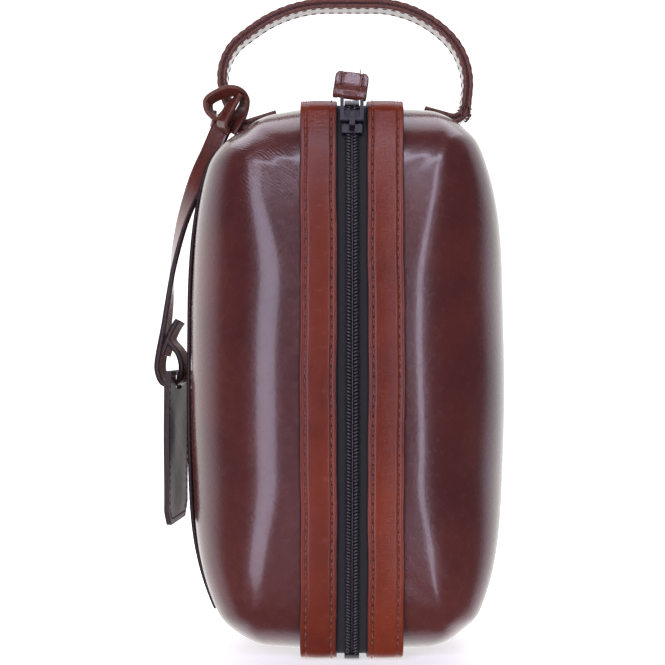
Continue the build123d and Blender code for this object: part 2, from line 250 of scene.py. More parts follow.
PANEL_LEATHER = glazed_calf(
    "glazed_calf_panel", "#3d1715", "#4a201b", "#59281f", roughness=0.24, crease=0.14, wrinkled=True)
FACING_LEATHER = glazed_calf(
    "glazed_calf_facing", "#511c10", "#672612", "#783118", roughness=0.23, crease=0.18, coat=0.05,
    stretch=(0.3, 1, 1.7), level=0.27)
STRAP_LEATHER = glazed_calf("glazed_calf_strap", "#3a1b18", "#57291f", "#71392a")
TAG_LEATHER = glazed_calf("glazed_calf_tag", "#2a2022", "#3b3033", "#4b3f42", roughness=0.32, coat=0.22)
EDGE = painted_edge("burnished_edge", "#1e1415")
RAW_EDGE = painted_edge("dyed_strap_edge", "#70402f")
THREAD = waxed_thread("waxed_thread", "#4a211b", "#7d4a3c")
# painted shade: near-black domes stand for the shade inside each needle hole
HOLE_SHADE = woven("painted_hole_shade", "#080505", "#120b0a", 0.4, roughness=0.95)
TAPE = woven("zip_tape_weave", "#0f0c0e", "#1f1b1e", 0.55)
COIL = moulded_nylon("zip_coil_nylon", "#171416", "#332f32")
SLIDER = lacquered_zinc("black_lacquered_zinc", "#141215", "#2b282c", 0.3, 0.3)
RING = lacquered_zinc("gunmetal_plate", "#17151a", "#2f2c31", 0.4, 0.3)
LINING = woven("lining_twill", "#1d1b20", "#34323a", 0.6)
BOARD = grey_board("grey_board")


# ---- putting arrays into meshes -------------------------------------------------
def mesh(name, points, faces, materials, indices=None, smooth=True):
    """An object at the origin from points in millimetres and faces of any size."""
    data = bpy.data.meshes.new(name)
    data.from_pydata((np.asarray(points, float) * MM).tolist(), [], [list(map(int, f)) for f in faces])
    for material in materials:
        data.materials.append(material)
    if indices is not None:
        data.polygons.foreach_set("material_index", np.asarray(indices, np.int32))
    data.polygons.foreach_set("use_smooth", np.full(len(data.polygons), smooth))
    data.validate()
    piece = bpy.data.objects.new(name, data)
    bpy.context.collection.objects.link(piece)
    return piece


def grid_faces(rows, columns, closed=False):
    """Quads over a grid of rows by columns, closed round the columns if asked."""
    r, c = np.meshgrid(np.arange(rows - 1), np.arange(columns if closed else columns - 1), indexing="ij")
    following = (c + 1) % columns
    return np.stack([r * columns + c, r * columns + following,
                     (r + 1) * columns + following, (r + 1) * columns + c], -1).reshape(-1, 4)


def bend(piece, bodies, ends, slot, *replaced):
    """Bake the piece's place into its mesh and hide the plain solids that it stands for; the two bodies, the stretch
    between two points in mm and the slot are not used.
    """
    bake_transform(piece)
    if replaced:
        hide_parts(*replaced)
    return piece


def place(piece, body, slot, *replaced):
    """Ride a piece on a body and hide the plain solids that it stands for; the slot is not used."""
    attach(piece, body)
    if replaced:
        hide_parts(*replaced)
    return piece


def unit(vectors):
    """Each vector divided by its own length."""
    return vectors / np.linalg.norm(vectors, axis=-1, keepdims=True)


def tube(name, points, materials, edge_columns=None):
    """A closed skin over points[row, column]: quads round each row, one cap at each end."""
    rows, columns = points.shape[:2]
    faces = grid_faces(rows, columns, closed=True)
    caps = [np.arange(columns)[::-1], (rows - 1) * columns + np.arange(columns)]
    indices = np.zeros(len(faces) + 2, int)
    if edge_columns is not None:
        indices[:-2] = np.tile(edge_columns, rows - 1)
        indices[-2:] = 1
    return outward(mesh(name, points.reshape(-1, 3), [*faces, *caps], materials, indices))


def outward(piece):
    """Turn a closed skin's faces outwards if its signed volume is negative."""
    data = piece.data
    data.calc_loop_triangles()
    corners = np.empty(len(data.loop_triangles) * 3, np.int32)
    data.loop_triangles.foreach_get("vertices", corners)
    spots = np.empty(len(data.vertices) * 3)
    data.vertices.foreach_get("co", spots)
    a, b, c = spots.reshape(-1, 3)[corners.reshape(-1, 3)].transpose(1, 0, 2)
    if np.einsum("ij,ij->i", a, np.cross(b, c)).sum() < 0:
        data.flip_normals()
    return piece


def smoothstep(value, low, high):
    """0 below low, 1 above high and an even S between them: three squares less two cubes."""
    part = np.clip((value - low) / (high - low), 0, 1)
    return part * part * (3 - 2 * part)


# ---- the leather body -----------------------------------------------------------
LEFT_HALF, RIGHT_HALF = 73.3, 69.7             # the pocket's side is packed fuller
HALF_LENGTH = 125.0                            # middle of the bag to each end
SPINE_Y = 5.0                                  # where rays towards the leather start
DRAWN_IN = 0.305                               # part of the width lost at each end
PINCH_X, PINCH_Z, PINCH_Y = 50.0, 114.0, -50.0
WAVES = RNG.normal(size=(14, 3)) * (0.055, 0.05, 0.04)
WAVE_PHASE = RNG.uniform(0, 2 * pi, 14)
CREASES = [(RNG.uniform(-1.45, 0.35), RNG.uniform(22, 62), RNG.uniform(1.8, 3.2), RNG.uniform(0.05, 0.2))
           for _ in range(6)]                  # turn, length, width and height of each


def round_off(a, b, radius):
    """Distance to where two solids overlap, with the edge between them rounded to a radius."""
    inside = np.minimum(np.maximum(a, b), -radius)
    outside = np.hypot(np.maximum(a + radius, 0), np.maximum(b + radius, 0))
    return inside + outside


def relief(x, y, z):
    """How far the leather stands in (+) or out (-): slow waves, a dimple at each pinched corner,
    and creases that fan out from it, each a line with a bell-shaped section that fades with length."""
    p = np.stack([x, y, z], -1)
    depth = 0.22 * np.sin(p @ WAVES.T + WAVE_PHASE).sum(-1) / 2.2
    for side in (-1, 1):
        for end in (-1, 1):
            along = side * (PINCH_X * side - x)            # towards the zip
            down = PINCH_Z - end * (z - MID_Z)             # towards the middle
            reach = np.hypot(along, down)
            near = np.exp(-((y - PINCH_Y) / 26.0) ** 2)
            depth = depth + (1.9 if side * end < 0 else 1.0) * np.exp(-(reach / 6.5) ** 2) * near
            for k, (turn, length, width, height) in enumerate(CREASES):
                angle = turn + 0.08 * side * end * (k % 3)
                ahead = along * np.sin(-angle) + down * np.cos(angle)
                aside = along * np.cos(angle) + down * np.sin(angle)
                fade = np.exp(-(np.maximum(ahead, 0) / length) ** 2) * smoothstep(ahead, 1, 9)
                depth = depth + height * fade * np.exp(-(aside / width) ** 2) * near
    return depth


def leather_distance(x, y, z):
    """Signed distance to the filled bag: the zip face's arc, two sides that draw in towards the
    ends, and a flat base, with the long edges rounded more at mid height than at the ends."""
    part = (z - MID_Z) / HALF_LENGTH
    half = np.where(x < 0, LEFT_HALF, RIGHT_HALF) * (1 - DRAWN_IN * part ** 4)
    side = np.abs(x) - half
    slack = 0.3 + 0.7 * smoothstep(z, 100, 150) * smoothstep(-x, 10, 30)     # the knot weighs on one corner
    drop = 7.1 * slack * np.clip((np.abs(x) - 20) / 34, 0, 1.3) ** 1.3 - 1.7 * smoothstep(np.abs(x), 18.5, 23)
    end = np.abs(z - MID_Z) - (TOP_Z - MID_Z) + drop
    ends = round_off(side, end, 14.0 + 4.0 * slack)
    face = np.hypot(y - ARC_Y, z - MID_Z) - FACE_R
    edge = 44.0 - 22.0 * smoothstep(np.abs(z - MID_Z), 40, 118)
    base = y - BASE_Y + 1.2 * ((x / 74) ** 2 + part ** 2)
    return round_off(round_off(ends, face, edge), base, 9.0) + relief(x, y, z)


def cast(origin, way, lift):
    """Points where rays from inside the bag meet the leather grown by lift, found by halving."""
    low, high = np.zeros(origin.shape[:-1]), np.full(origin.shape[:-1], 260.0)
    for _ in range(34):
        middle = (low + high) / 2
        spot = origin + way * middle[..., None]
        within = leather_distance(spot[..., 0], spot[..., 1], spot[..., 2]) < lift
        low, high = np.where(within, middle, low), np.where(within, high, middle)
    return origin + way * low[..., None]


def half_shell(sign, lift, turns=150, rises=210):
    """One side panel: rays turn from the zip's edge round the side to the middle of the base and
    climb from the lower end to the upper, starting on a spine so that they spread evenly."""
    turn = np.linspace(0, pi, turns)[None, :]
    climb = np.linspace(-1, 1, rises)[:, None]
    tilt = climb ** 3 * (pi / 2) * 0.55 + climb * (pi / 2) * 0.45
    near = smoothstep(np.cos(turn), -0.2, 0.6) * (1 - smoothstep(np.abs(tilt), 1.22, 1.36))
    origin = np.stack(np.broadcast_arrays(
        sign * 8.0 * near, 0.0 * turn + SPINE_Y, MID_Z + 62 * climb + 0 * turn), -1)
    way = np.stack(np.broadcast_arrays(
        sign * np.sin(turn) * np.cos(tilt), -np.cos(turn) * np.cos(tilt), np.sin(tilt) + 0 * turn), -1)
    return cast(origin, way, lift)


def skin_piece(name, points, material, thickness):
    """A grid of points as a sheet with a wall, its inner side facing the bag's inside."""
    faces = grid_faces(*points.shape[:2])
    piece = mesh(name, points.reshape(-1, 3), faces, [material])
    data = piece.data
    centre = np.array([0, SPINE_Y, MID_Z]) * MM
    normals = np.empty(len(data.polygons) * 3)
    middles = np.empty(len(data.polygons) * 3)
    data.polygons.foreach_get("normal", normals)
    data.polygons.foreach_get("center", middles)
    if (normals.reshape(-1, 3) * (middles.reshape(-1, 3) - centre)).sum() < 0:
        data.flip_normals()
    wall = piece.modifiers.new("wall", "SOLIDIFY")
    wall.thickness = thickness * MM
    wall.offset = -1.0
    return piece


for side, sign in (("left", -1), ("right", 1)):
    place(skin_piece(f"{side}_panel_leather", half_shell(sign, 0.0), PANEL_LEATHER, 1.6),
          "bag", "bag_leather", f"{side}_panel")
    place(skin_piece(f"{side}_lining_cloth", half_shell(sign, -2.3, 80, 110), LINING, 0.6),
          "bag", "lining_cloth", f"lining_{side}", "lining_base")


# ---- what follows the zip face --------------------------------------------------
def zip_run(s, lift):
    """Points that follow the zip's way: an arc over the face, a small bend and a flat run over each
    end; s is the length from the middle, measured at the leather, and lift the height above it."""
    s, lift = np.broadcast_arrays(np.asarray(s, float), np.asarray(lift, float))
    size, sign = np.abs(s), np.sign(s)
    on_face = np.minimum(size, FACE_RUN) / FACE_R
    past = np.clip(size - FACE_RUN, 0, BEND_RUN) / BEND_R
    flat = np.maximum(size - FACE_RUN - BEND_RUN, 0)
    angle = on_face + past
    y_face = ARC_Y - (FACE_R + lift) * np.cos(on_face)
    z_face = (FACE_R + lift) * np.sin(on_face)
    y_bend = BEND_Y - (BEND_R + lift) * np.cos(angle)
    z_bend = BEND_RISE + (BEND_R + lift) * np.sin(angle)
    bent = size > FACE_RUN
    y = np.where(bent, y_bend, y_face) + flat
    z = np.where(bent, z_bend, z_face)
    return y, MID_Z + sign * z


def run_frame(s):
    """The way along the zip and the outward way at each s, as unit vectors."""
    step = 0.01
    (y0, z0), (y1, z1) = zip_run(s - step, 0), zip_run(s + step, 0)
    along = unit(np.stack([0 * y0, y1 - y0, z1 - z0], -1))
    (ya, za), (yb, zb) = zip_run(s, 0), zip_run(s, 1)
    return along, unit(np.stack([0 * ya, yb - ya, zb - za], -1))


def run_spots(s, reach):
    """Lengths along the zip's way from -reach to reach, closer together where it bends."""
    fine = np.linspace(FACE_RUN - 2, FACE_RUN + BEND_RUN + 1.5, 26)
    plain = np.arange(0, reach, s)
    spots = np.unique(np.round(np.concatenate([plain[np.abs(plain - FACE_RUN - 6) > 8], fine, [reach]]), 4))
    spots = spots[spots <= reach]
    return np.concatenate([-spots[:0:-1], spots])


def strip_profile(inner, outer, low, high, dips, crown, peak=1.0, edge=0.7, columns=34):
    """A strip's section as a loop of (across, up): rounded edges, a slight crown and a shallow
    valley at each line of stitches."""
    across = np.linspace(inner + edge, outer - edge, columns)
    part = (across - inner) / (outer - inner)
    top = high + crown * (np.sin(pi * part ** peak) - 0.6)
    for dip in dips:
        top = top - 0.35 * np.exp(-((across - dip) / 0.6) ** 2)
    turn = np.linspace(0, pi / 2, 6)[1:]
    right = np.stack([outer - edge + edge * np.sin(turn), top[-1] - edge + edge * np.cos(turn)], -1)
    back = turn[::-1][1:]
    left = np.stack([inner + edge - edge * np.cos(back), top[0] - edge + edge * np.sin(back)], -1)
    left = np.concatenate([[[inner, top[0] - edge]], left])
    loop = np.concatenate([left, np.stack([across, top], -1), right, [[outer, low], [inner, low]]])
    is_edge = np.zeros(len(loop), int)
    is_edge[len(left) + columns + 1:] = 1
    is_edge[:3] = 1
    return loop, is_edge


def wander(s, sway, phase):
    """How far a hand-cut edge strays sideways at s: a slow wave and a faster one, 0.6 as high."""
    return sway * np.sin(s / 17.0 + phase) + sway * 0.6 * np.sin(s / 6.3 + 2 * phase)


def along_zip(name, loop, is_edge, spots, materials, sway=0.0, phase=0.0):
    """A section carried along the zip's way, its edges swaying slightly as cut by hand."""
    s = spots[:, None]
    x = loop[None, :, 0] + wander(s, sway, phase)
    y, z = zip_run(s, loop[None, :, 1] + 0 * s)
    return tube(name, np.stack([x, y, z], -1), materials, is_edge)


def capsule(length, radius, sides=8):
    """One stitch lying along X: a rod whose ends dive into the leather; points and faces."""
    place_x = np.array([-0.52, -0.44, -0.3, -0.1, 0.1, 0.3, 0.44, 0.52]) * length
    sink = np.array([-1.5, -0.75, -0.12, 0.1, 0.1, -0.12, -0.75, -1.5]) * radius
    width = np.array([0.55, 0.85, 1.0, 1.0, 1.0, 1.0, 0.85, 0.55]) * radius
    turn = np.linspace(0, 2 * pi, sides, endpoint=False)
    points = np.stack([np.repeat(place_x[:, None], sides, 1), width[:, None] * np.cos(turn),
                       sink[:, None] + width[:, None] * np.sin(turn)], -1)
    faces = grid_faces(len(place_x), sides, closed=True)
    caps = [np.arange(sides)[::-1], (len(place_x) - 1) * sides + np.arange(sides)]
    return points.reshape(-1, 3), [*faces, *caps]


def disc(radius, sides=8):
    """A needle hole's painted shade: a low dark dome over the leather."""
    turn = np.linspace(0, 2 * pi, sides, endpoint=False)
    rim = np.stack([radius * np.cos(turn), radius * 0.8 * np.sin(turn), 0 * turn - 0.1], -1)
    top = rim * (0.55, 0.55, 0) + (0, 0, 0.1)
    return np.concatenate([rim, top]), [*grid_faces(2, sides, closed=True), np.arange(sides) + sides,
                                        np.arange(sides)[::-1]]


def scatter(name, template, spots, along, up, material):
    """Copies of a template at each spot, its X along the way and its Z up from the surface."""
    points, faces = template
    across = np.cross(up, along)
    axes = np.stack([along, across, up], 1)
    every = spots[:, None, :] + np.einsum("kc,nca->nka", points, axes)
    count = len(points)
    all_faces = [np.asarray(f) + n * count for n in range(len(spots)) for f in faces]
    return outward(mesh(name, every.reshape(-1, 3), all_faces, [material]))


def stitch_line(name, spots, along, up, body, slot, slant=0.12, length=STITCH_LENGTH, radius=STITCH_RADIUS):
    """A line of stitches with a needle hole between each two, its shade painted as a dark dome."""
    leaning = unit(along + slant * np.cross(up, along))
    place(scatter(f"{name}_stitches", capsule(length, radius), spots, leaning, up, THREAD), body, slot)
    # a dark dome of painted shade at each needle hole, between two stitches
    hole_shades = (spots[1:] + spots[:-1]) / 2
    between, above = unit(along[1:] + along[:-1]), unit(up[1:] + up[:-1])
    place(scatter(f"{name}_holes", disc(HOLE_RADIUS), hole_shades, between, above, HOLE_SHADE), body, slot)


SEAM_INSET = 2.5
FACING_SWAY = 0.18
facing_spots = run_spots(2.2, FACING_RUN)
for side, sign in (("left", -1), ("right", 1)):
    inner, outer = sorted(abs(corner[0]) for corner in box_mm(f"facing_{side}"))
    seams = (inner + SEAM_INSET, outer - SEAM_INSET)
    loop, is_edge = strip_profile(inner, outer, SKIN - FACING_T, SKIN, seams, crown=0.35, peak=0.8)
    loop = loop * (sign, 1)
    strip = along_zip(f"facing_{side}_leather", loop, is_edge, facing_spots, [FACING_LEATHER, EDGE], FACING_SWAY, sign)
    place(strip, "bag", "facing_leather", f"facing_{side}")
    for row, seam in zip(("inner", "outer"), seams):
        s = np.arange(-FACING_RUN + 3, FACING_RUN - 2, STITCH_PITCH)
        along, up = run_frame(s)
        y, z = zip_run(s, SKIN - (0.42 if row == "outer" else 0.1))
        x = sign * seam + wander(s, FACING_SWAY, sign)
        stitch_line(f"facing_{side}_{row}", np.stack([x, y, z], -1), along, up, "bag", "facing_leather",
                    slant=0.1 * sign)

for end, sign in (("top", 1), ("bottom", -1)):
    low, high = box_mm(f"zip_end_tab_{end}")
    half = high[0]
    begin = FACE_RUN + BEND_RUN + low[1] - BEND_Y
    finish = FACE_RUN + BEND_RUN + high[1] - BEND_Y
    seams = (-half + SEAM_INSET, half - SEAM_INSET)
    loop, is_edge = strip_profile(-half, half, SKIN - FACING_T, SKIN, seams, crown=0.1)
    spots = sign * np.linspace(begin, finish, 24)
    place(along_zip(f"zip_end_tab_{end}_leather", loop, is_edge, spots, [FACING_LEATHER, EDGE]),
          "bag", "facing_leather", f"zip_end_tab_{end}")
    for row, seam in zip(("left", "right"), seams):
        s = sign * np.arange(begin + 2.5, finish - 2, STITCH_PITCH)
        along, up = run_frame(s)
        y, z = zip_run(s, SKIN - 0.12)
        stitch_line(f"tab_{end}_{row}", np.stack([0 * s + seam, y, z], -1), along, up, "bag", "facing_leather")
    x = np.arange(-half + 4.5, half - 4, STITCH_PITCH)
    y, z = zip_run(np.full(len(x), sign * (finish - SEAM_INSET)), SKIN - 0.05)
    stitch_line(f"tab_{end}_across", np.stack([x, y, z], -1), np.tile((1.0, 0, 0), (len(x), 1)),
                np.tile((0, 0, float(sign)), (len(x), 1)), "bag", "facing_leather")


# ---- zip ------------------------------------------------------------------------
TAPE_RUN = FACE_RUN + BEND_RUN + box_mm("zip_tape_right")[1][1] - BEND_Y
COIL_RUN = FACE_RUN + 0.75 * BEND_RUN
COIL_OUT = box_mm("zip_coil_right")[1][0]
COIL_BASE = SKIN - FACING_T
for side, sign in (("left", -1), ("right", 1)):
    loop = np.array([[0.35, 0.05], [0.35, 0.62], [4, 0.66], [10, 0.66], [18.9, 0.65], [18.9, 0.05]]) * (sign, 1)
    place(along_zip(f"zip_tape_{side}_weave", loop, None, run_spots(3.0, TAPE_RUN), [TAPE]),
          "bag", "zip_tape_cloth", f"zip_tape_{side}")

    sides, steps = 7, 6                        # round one rib, and along it
    across = np.linspace(0, 1, steps)
    rib_x = 0.35 + across * (COIL_OUT - 0.45)
    rib_s = 0.55 * across * COIL_PITCH * 0.9
    rib_h = COIL_BASE + 1.25 + 0.35 * np.sin(pi * (0.25 + 0.7 * across))
    rib_w = np.array([0.5, 0.95, 1.0, 1.0, 0.95, 0.45])
    turn = np.linspace(0, 2 * pi, sides, endpoint=False)
    shape_x = np.repeat(sign * rib_x[:, None], sides, 1)
    shape_s = rib_s[:, None] + 0.68 * rib_w[:, None] * np.cos(turn)
    shape_h = rib_h[:, None] + 0.75 * rib_w[:, None] * np.sin(turn)
    centres = np.arange(-COIL_RUN, COIL_RUN - 1, COIL_PITCH) + (COIL_PITCH / 2 if sign > 0 else 0)
    y, z = zip_run(centres[:, None, None] + shape_s, shape_h + 0 * centres[:, None, None])
    points = np.stack([np.broadcast_to(shape_x, y.shape), y, z], -1)
    rib_faces = [*grid_faces(steps, sides, closed=True), np.arange(sides)[::-1], np.arange(sides) + (steps - 1) * sides]
    faces = [np.asarray(f) + n * steps * sides for n in range(len(centres)) for f in rib_faces]
    place(outward(mesh(f"zip_coil_{side}_ribs", points.reshape(-1, 3), faces, [COIL])),
          "bag", "zip_nylon", f"zip_coil_{side}")

turn = np.linspace(0, 2 * pi, 10, endpoint=False)
loop = np.stack([0.42 * np.cos(turn), COIL_BASE + 1.45 + 0.45 * np.sin(turn)], -1)
place(along_zip("zip_coil_core_cord", loop, None, run_spots(3.0, COIL_RUN), [COIL]), "bag", "zip_nylon")

KEPT = {"slider_back_plate": SLIDER, "slider_body": SLIDER, "slider_bridge": SLIDER, "puller_ring": RING,
        "zip_top_stop_left": COIL, "zip_top_stop_right": COIL, "zip_bottom_stop": COIL}
for node, material in KEPT.items():
    data = frame["nodes"][node].data
    data.materials.clear()
    data.materials.append(material)


# ---- base tray, base board and the pocket ----------------------------------------
RIM_Y = box_mm("base_panel")[0][1]


def tray_points(lift, turns=180):
    """The base's tray: rays fan over the long rounded edge from a ring inside the base, then rise
    straight to the base on rings that shrink to its middle."""
    round_way = np.linspace(0, 2 * pi, turns, endpoint=False)[None, :]
    flat_way = np.stack([np.sin(round_way), 0 * round_way, np.cos(round_way)], -1)
    spine = np.stack([0 * round_way, 0 * round_way + RIM_Y, MID_Z + 55 * np.cos(round_way)], -1)
    rim = cast(spine, flat_way, lift)
    centre = np.array([0, RIM_Y, MID_Z])
    ring = centre + 0.72 * (rim - centre)
    lift_way = np.linspace(0, pi / 2, 18)[:, None, None]
    outward_way = unit(rim - ring)
    fan = outward_way * np.cos(lift_way) + np.array([0, 1.0, 0]) * np.sin(lift_way)
    turned = cast(np.broadcast_to(ring, fan.shape), fan, lift)
    shrink = np.linspace(0.72, 0.02, 12)[1:, None, None]
    inner = centre + shrink * (rim - centre)
    return np.concatenate([turned, cast(inner, np.broadcast_to([0, 1.0, 0], inner.shape), lift)])


tray = tray_points(2.5)
rows, columns = tray.shape[:2]
faces = [*grid_faces(rows, columns, closed=True), (rows - 1) * columns + np.arange(columns)]
piece = outward(mesh("base_tray_leather", tray.reshape(-1, 3), faces, [PANEL_LEATHER, EDGE]))
wall = piece.modifiers.new("wall", "SOLIDIFY")
wall.thickness, wall.offset, wall.material_offset_rim = 2.2 * MM, -1.0, 1
place(piece, "bag", "bag_leather", "base_panel")

seam_way = np.linspace(0, 2 * pi, 4000)
start_ring = np.stack([0 * seam_way, 0 * seam_way + RIM_Y + 2.6, MID_Z + 55 * np.cos(seam_way)], -1)
seam = cast(start_ring, np.stack([np.sin(seam_way), 0 * seam_way, np.cos(seam_way)], -1), 2.4)


def evenly(path, pitch, start=0.0):
    """Places a pitch apart along a path, with the way along it at each."""
    steps = np.linalg.norm(np.diff(path, axis=0), axis=1)
    run = np.concatenate([[0], np.cumsum(steps)])
    wanted = np.arange(start, run[-1] - start, pitch)
    spots = np.stack([np.interp(wanted, run, path[:, k]) for k in range(3)], -1)
    ahead = np.stack([np.interp(wanted + 0.5, run, path[:, k]) for k in range(3)], -1)
    behind = np.stack([np.interp(wanted - 0.5, run, path[:, k]) for k in range(3)], -1)
    return spots, unit(ahead - behind)


spots, along = evenly(seam, STITCH_PITCH)
up = unit(np.cross(np.array([0, 1.0, 0]), along))
up *= np.sign((up * (spots - [0, 0, MID_Z])).sum(-1))[:, None]
stitch_line("base_tray_rim", spots, along, up, "bag", "bag_leather")

board_low, board_high = box_mm("base_board")
board = np.array([[x, y, z] for x in (0.98 * board_low[0], 0.98 * board_high[0]) for y in (68.9, 70.4)
                  for z in (board_low[2] + 2, board_high[2] - 2)])
board_faces = [(0, 1, 3, 2), (4, 6, 7, 5), (0, 4, 5, 1), (2, 3, 7, 6), (0, 2, 6, 4), (1, 5, 7, 3)]
place(outward(mesh("base_board_card", board, board_faces, [BOARD], smooth=False)),
      "bag", "base_board_card", "base_board")

pocket_low, pocket_high = box_mm("pocket_panel")
POCKET_CORNER = 14


def pocket_points(lift):
    """The outside pocket's panel: a grid over the left side, corners rounded, laid on the leather."""
    y = np.linspace(pocket_low[1], pocket_high[1], 60)[None, :]
    v = np.linspace(-1, 1, 130)[:, None]
    into_corner = np.clip((y - pocket_high[1] + POCKET_CORNER) / POCKET_CORNER, 0, 1)
    half = (pocket_high[2] - pocket_low[2]) / 2 - POCKET_CORNER * (1 - np.sqrt(1 - into_corner ** 2))
    z = (pocket_high[2] + pocket_low[2]) / 2 + half * v
    origin = np.stack([0 * z, y + 0 * z, z], -1)
    return cast(origin, np.broadcast_to([-1.0, 0, 0], origin.shape), lift)


def slab(name, top, bottom, materials):
    """A closed sheet between two grids, with its cut sides in the second material."""
    rows, columns = top.shape[:2]
    quads = grid_faces(rows, columns)
    rim = np.concatenate([
        np.arange(columns), np.arange(1, rows) * columns + columns - 1,
        (rows - 1) * columns + np.arange(columns - 1)[::-1], np.arange(1, rows - 1)[::-1] * columns])
    following = np.roll(rim, -1)
    count = rows * columns
    sides = np.stack([rim, following, following + count, rim + count], -1)
    faces = [*quads, *(quads[:, ::-1] + count), *sides[:, ::-1]]
    indices = np.zeros(len(faces), int)
    indices[2 * len(quads):] = 1
    points = np.concatenate([top.reshape(-1, 3), bottom.reshape(-1, 3)])
    return outward(mesh(name, points, faces, materials, indices))


outer, inner = pocket_points(2.4), pocket_points(0.6)
place(slab("pocket_panel_leather", outer, inner, [PANEL_LEATHER, EDGE]), "bag", "bag_leather", "pocket_panel")
pocket_seams = {"top": outer[-3, 2:], "bottom": outer[2, 2:], "back": outer[2:-2, -3], "mouth": outer[2:-2, 3]}
for row, line in pocket_seams.items():
    spots, along = evenly(line, STITCH_PITCH, 2.0)
    stitch_line(f"pocket_{row}", spots, along, np.tile((-1.0, 0, 0), (len(spots), 1)), "bag", "bag_leather")


# ---- straps ---------------------------------------------------------------------
def strap_profile(width, thickness, dips=(), edge=0.5, columns=22):
    """A strap's section as a loop of (across, up) about its middle, both long edges rounded."""
    across = np.linspace(-width / 2 + edge, width / 2 - edge, columns)
    top = np.full(columns, thickness / 2)
    for dip in dips:
        top = top - 0.35 * np.exp(-((across - dip) / 0.8) ** 2)
    turn = np.linspace(pi / 2, -pi / 2, 8)[1:-1]
    middle = np.stack([np.cos(turn) * edge, np.sin(turn) * (thickness / 2)], -1)
    right = middle + (width / 2 - edge, 0)
    left = (middle * (-1, 1) - (width / 2 - edge, 0))[::-1]
    loop = np.concatenate([np.stack([across, top], -1), right, np.stack([across[::-1], -top], -1), left])
    is_edge = np.zeros(len(loop), int)
    is_edge[columns - 1:columns + 6] = 1
    is_edge[-7:] = 1
    return loop, is_edge


def ways(path):
    """The way along a path at each of its points, as unit vectors."""
    return unit(np.gradient(path, axis=0))


def carry(name, path, across, section, materials, offset=0.0, widths=1.0, heights=None):
    """A section carried along a path; across is the strap's width direction at each point."""
    loop, is_edge = section
    along = ways(path)
    across = unit(across - (across * along).sum(-1, keepdims=True) * along)
    up = np.cross(along, across)
    widths = np.broadcast_to(widths, len(path))[:, None, None]
    lift = loop[None, :, 1, None] + offset
    if heights is not None:
        lift = lift + heights[:, None, None] * (loop[None, :, 1, None] > 0)
    points = path[:, None] + across[:, None] * loop[None, :, 0, None] * widths + up[:, None] * lift
    return tube(name, points, materials, is_edge)


def filleted(corners, radii, step=0.6):
    """A path in the XZ plane through corners, each rounded to its radius, with even steps."""
    corners = [np.array(c, float) for c in corners]
    points = [corners[0]]
    for before, corner, after, radius in zip(corners, corners[1:], corners[2:], radii):
        back, ahead = unit(before - corner), unit(after - corner)
        half = np.arccos(np.clip(back @ ahead, -1, 1)) / 2
        middle = corner + unit(back + ahead) * radius / np.sin(half)
        begin, finish = corner + back * radius / np.tan(half), corner + ahead * radius / np.tan(half)
        for part in np.linspace(0, 1, 24):
            spoke = (1 - part) * (begin - middle) + part * (finish - middle)
            points.append(middle + unit(spoke) * radius)
    points.append(corners[-1])
    path = np.array(points)
    run = np.concatenate([[0], np.cumsum(np.linalg.norm(np.diff(path, axis=0), axis=1))])
    wanted = np.linspace(0, run[-1], int(run[-1] / step))
    x, z = (np.interp(wanted, run, path[:, k]) for k in (0, 1))
    return np.stack([x, 0 * x, z], -1)


def eased(points, count):
    """A smooth path through points: a Catmull-Rom curve with even steps."""
    points = np.array(points, float)
    ends = np.concatenate([[2 * points[0] - points[1]], points, [2 * points[-1] - points[-2]]])
    t = np.linspace(0, len(points) - 1 - 1e-9, count * 4)
    k, f = t.astype(int), (t % 1)[:, None]
    a, b, c, d = ends[k], ends[k + 1], ends[k + 2], ends[k + 3]
    curve = 0.5 * (2 * b + (c - a) * f + (2 * a - 5 * b + 4 * c - d) * f ** 2 + (3 * b - a - 3 * c + d) * f ** 3)
    run = np.concatenate([[0], np.cumsum(np.linalg.norm(np.diff(curve[:, :3], axis=0), axis=1))])
    wanted = np.linspace(0, run[-1], count)
    return np.stack([np.interp(wanted, run, curve[:, n]) for n in range(curve.shape[1])], -1)


def top_height(x):
    """Height of the leather of the upper end at mid depth."""
    spot = cast(np.array([[x, 0.0, MID_Z]]), np.array([[0.0, 0, 1.0]]), 0.0)
    return spot[0, 2]


HANDLE_WIDTH = 15.0
HANDLE_SEAM = 5.2                              # middle of the handle to each row of stitches
STRAP_T, CORE_T = 1.9, 0.6
crown_z = HINGE_Z + 44.3
handle_path = filleted(
    [(-35, top_height(-35) + 3.1), (-54.7, top_height(-50) + 3.6), (-65, crown_z - 26), (-30, crown_z),
     (30, crown_z), (57.5, crown_z - 25), (54.5, 250), (54.3, top_height(49) + 3.6), (35, top_height(35) + 3.1)],
    [6.0, 24.0, 60.0, 50.0, 33.0, 60.0, 6.0])
Y_WAY = np.broadcast_to([0, 1.0, 0], handle_path.shape)
HINGE_BEND = ((0, 0, HINGE_Z - 9), (0, 0, HINGE_Z + 8))
handle_run = np.concatenate([[0], np.cumsum(np.linalg.norm(np.diff(handle_path, axis=0), axis=1))])
scallop = 0.3 * np.abs(np.sin(pi * handle_run / STITCH_PITCH))
layer = (CORE_T + STRAP_T) / 2


